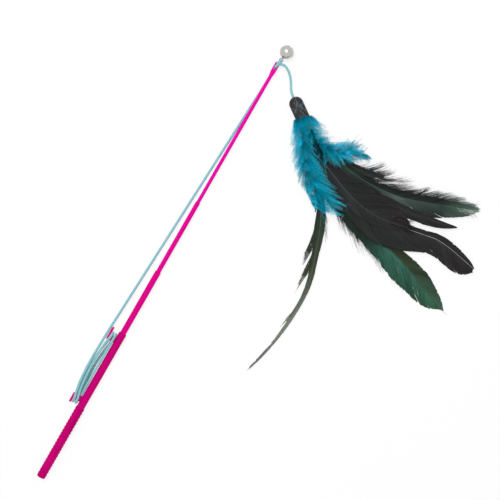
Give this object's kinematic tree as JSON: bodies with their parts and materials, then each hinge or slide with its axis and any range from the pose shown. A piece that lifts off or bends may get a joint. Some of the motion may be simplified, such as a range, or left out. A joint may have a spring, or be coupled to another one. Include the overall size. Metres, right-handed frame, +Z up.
{
  "type": "cat teaser wand",
  "caption": "Telescopic cat teaser wand with a ribbed grip, cord stowed on side hooks, a jingle bell at the tip and a capped lure of marabou and coque feathers.",
  "frame": {"origin": "centre of the butt's end face, on the wand's axis", "axes": "+X along the wand from butt to tip, +Y towards the cord hooks, +Z up from the surface that the wand lies on"},
  "size_m": [0.5469, 0.3136, 0.0198],
  "materials": {
    "pink_plug": "moulded, satin",
    "pink_grip": "soft ribbed grip, satin",
    "pink_handle": "extruded, glossy",
    "pink_hooks": "moulded, satin",
    "pink_stages": "extruded, glossy",
    "bush_nylon": "plain nylon",
    "teal_cord": "braided round elastic",
    "nickel": "nickel plated, pressed sheet",
    "steel": "plain ball",
    "cap_black": "moulded, satin",
    "binding_glue": "set glue",
    "feather_black": "coque feather, iridescent black",
    "feather_green": "coque feather, dyed green over black",
    "feather_olive": "coque feather, olive",
    "marabou_teal": "dyed marabou down"
  },
  "bodies": {
    "handle": {"handle_tube": "pink_handle", "butt_plug": "pink_plug", "grip_sleeve": "pink_grip", "lower_hook": "pink_hooks", "upper_hook": "pink_hooks", "cord_winding": "teal_cord", "cord_run_lower": "teal_cord"},
    "stage_2": {"stage_2_tube": "pink_stages", "stage_2_bush": "bush_nylon", "cord_run_middle": "teal_cord"},
    "stage_3": {"stage_3_tube": "pink_stages", "stage_3_bush": "bush_nylon", "cord_run_upper": "teal_cord"},
    "tip": {"tip_rod": "pink_stages", "tip_bush": "bush_nylon", "cord_knot": "teal_cord"},
    "bell": {"bell_cup_upper": "nickel", "bell_cup_lower": "nickel", "bell_shank": "nickel"},
    "clapper": {"bell_ball": "steel"},
    "dangle": {"cord_dangle": "teal_cord"},
    "lure": {"lure_cap": "cap_black", "cap_knot": "teal_cord", "quill_binding": "binding_glue", "feather_olive_thin": "feather_olive", "feather_green_broad": "feather_green", "feather_green_tipped": "feather_green", "feather_dark_upper": "feather_black", "feather_black_short": "feather_black", "feather_black_long": "feather_black", "feather_black_broad": "feather_black", "marabou_under_left": "marabou_teal", "marabou_under_right": "marabou_teal", "marabou_right": "marabou_teal", "marabou_left": "marabou_teal", "marabou_top": "marabou_teal"}
  },
  "joints": [
    {"name": "stage_2_slide", "type": "slide", "parent": "handle", "child": "stage_2", "axis": [1, 0, 0], "range_m": [-0.073, 0.084], "deforming": ["cord_run_lower"]},
    {"name": "stage_3_slide", "type": "slide", "parent": "stage_2", "child": "stage_3", "axis": [1, 0, 0], "range_m": [-0.083, 0.077], "deforming": ["cord_run_middle"]},
    {"name": "tip_slide", "type": "slide", "parent": "stage_3", "child": "tip", "axis": [1, 0, 0], "range_m": [-0.159, 0.0015], "deforming": ["cord_run_upper"]},
    {"name": "bell_swing", "type": "hinge", "parent": "tip", "child": "bell", "pos_m": [0.5283, -0.0018, 0.0052], "axis": [0, 0, 1], "range_deg": [-45, 45]},
    {"name": "clapper_roll", "type": "hinge", "parent": "bell", "child": "clapper", "pos_m": [0.53924, -0.0027, 0.003], "axis": [0.0819, 0.9966, 0], "range_deg": [-55, 55]},
    {"name": "lure_swing", "type": "hinge", "parent": "tip", "child": "dangle", "pos_m": [0.5227, -0.0012, 0.005], "axis": [0, 0, 1], "range_deg": [-20, 40], "deforming": ["cord_dangle"]},
    {"name": "lure_tilt", "type": "hinge", "parent": "dangle", "child": "lure", "pos_m": [0.5, -0.0335, 0.00285], "axis": [-0.8126, 0.5828, 0], "range_deg": [0, 75], "deforming": ["cord_dangle"]}
  ]
}
